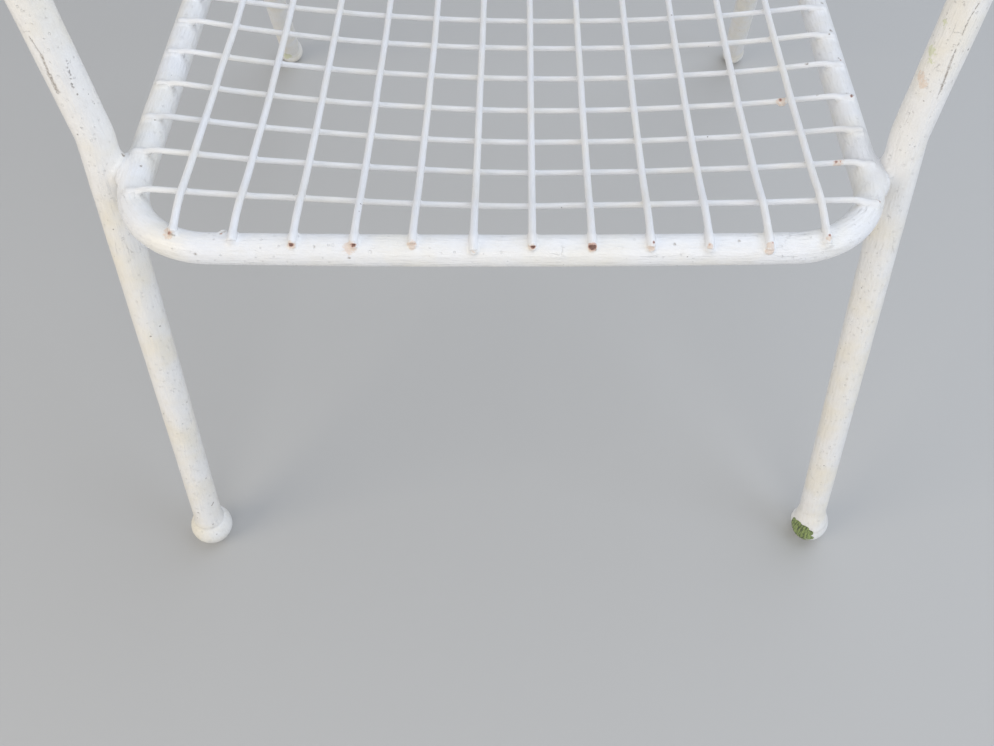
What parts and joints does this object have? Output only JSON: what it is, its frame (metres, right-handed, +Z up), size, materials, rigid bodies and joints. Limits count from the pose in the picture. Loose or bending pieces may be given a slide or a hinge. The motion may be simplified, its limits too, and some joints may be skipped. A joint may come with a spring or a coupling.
{
  "type": "metal lawn chair",
  "caption": "White-painted welded steel lawn armchair: tube frame, ball feet, and a dished wire-grid seat that curves up into the back.",
  "frame": {"origin": "on the floor, at the centre of the footprint of the four ball feet", "axes": "+Z up; -Y is the front of the chair, where the sitter's knees are; +X is towards the right-hand side as seen by someone facing the chair"},
  "size_m": [0.6524, 0.7728, 0.8493],
  "materials": {
    "frame_paint": "thick brushed-on gloss paint, white, over steel tube",
    "leg_paint": "thick brushed-on gloss paint, warm white, over steel tube",
    "foot_paint": "worn and chipped white paint over an older green coat",
    "wire_paint": "thick gloss paint, white, gathered at the wire crossings",
    "weld_paint": "lumpy painted weld bead"
  },
  "bodies": {
    "root": {"seat_frame": "frame_paint", "back_frame": "frame_paint", "left_side_tube": "leg_paint", "left_rear_leg": "leg_paint", "left_front_foot": "foot_paint", "left_rear_foot": "foot_paint", "left_leg_weld": "weld_paint", "right_side_tube": "leg_paint", "right_rear_leg": "leg_paint", "right_front_foot": "foot_paint", "right_rear_foot": "foot_paint", "right_leg_weld": "weld_paint", "cross_wire_01": "wire_paint", "cross_wire_02": "wire_paint", "cross_wire_03": "wire_paint", "cross_wire_04": "wire_paint", "cross_wire_05": "wire_paint", "cross_wire_06": "wire_paint", "cross_wire_07": "wire_paint", "cross_wire_08": "wire_paint", "cross_wire_09": "wire_paint", "cross_wire_10": "wire_paint", "cross_wire_11": "wire_paint", "cross_wire_12": "wire_paint", "cross_wire_13": "wire_paint", "cross_wire_14": "wire_paint", "cross_wire_15": "wire_paint", "cross_wire_16": "wire_paint", "cross_wire_17": "wire_paint", "cross_wire_18": "wire_paint", "cross_wire_19": "wire_paint", "cross_wire_20": "wire_paint", "cross_wire_21": "wire_paint", "cross_wire_22": "wire_paint", "cross_wire_23": "wire_paint", "long_wire_01": "wire_paint", "long_wire_02": "wire_paint", "long_wire_03": "wire_paint", "long_wire_04": "wire_paint", "long_wire_05": "wire_paint", "long_wire_06": "wire_paint", "long_wire_07": "wire_paint", "long_wire_08": "wire_paint", "long_wire_09": "wire_paint", "long_wire_10": "wire_paint", "long_wire_11": "wire_paint", "long_wire_12": "wire_paint"}
  },
  "joints": []
}
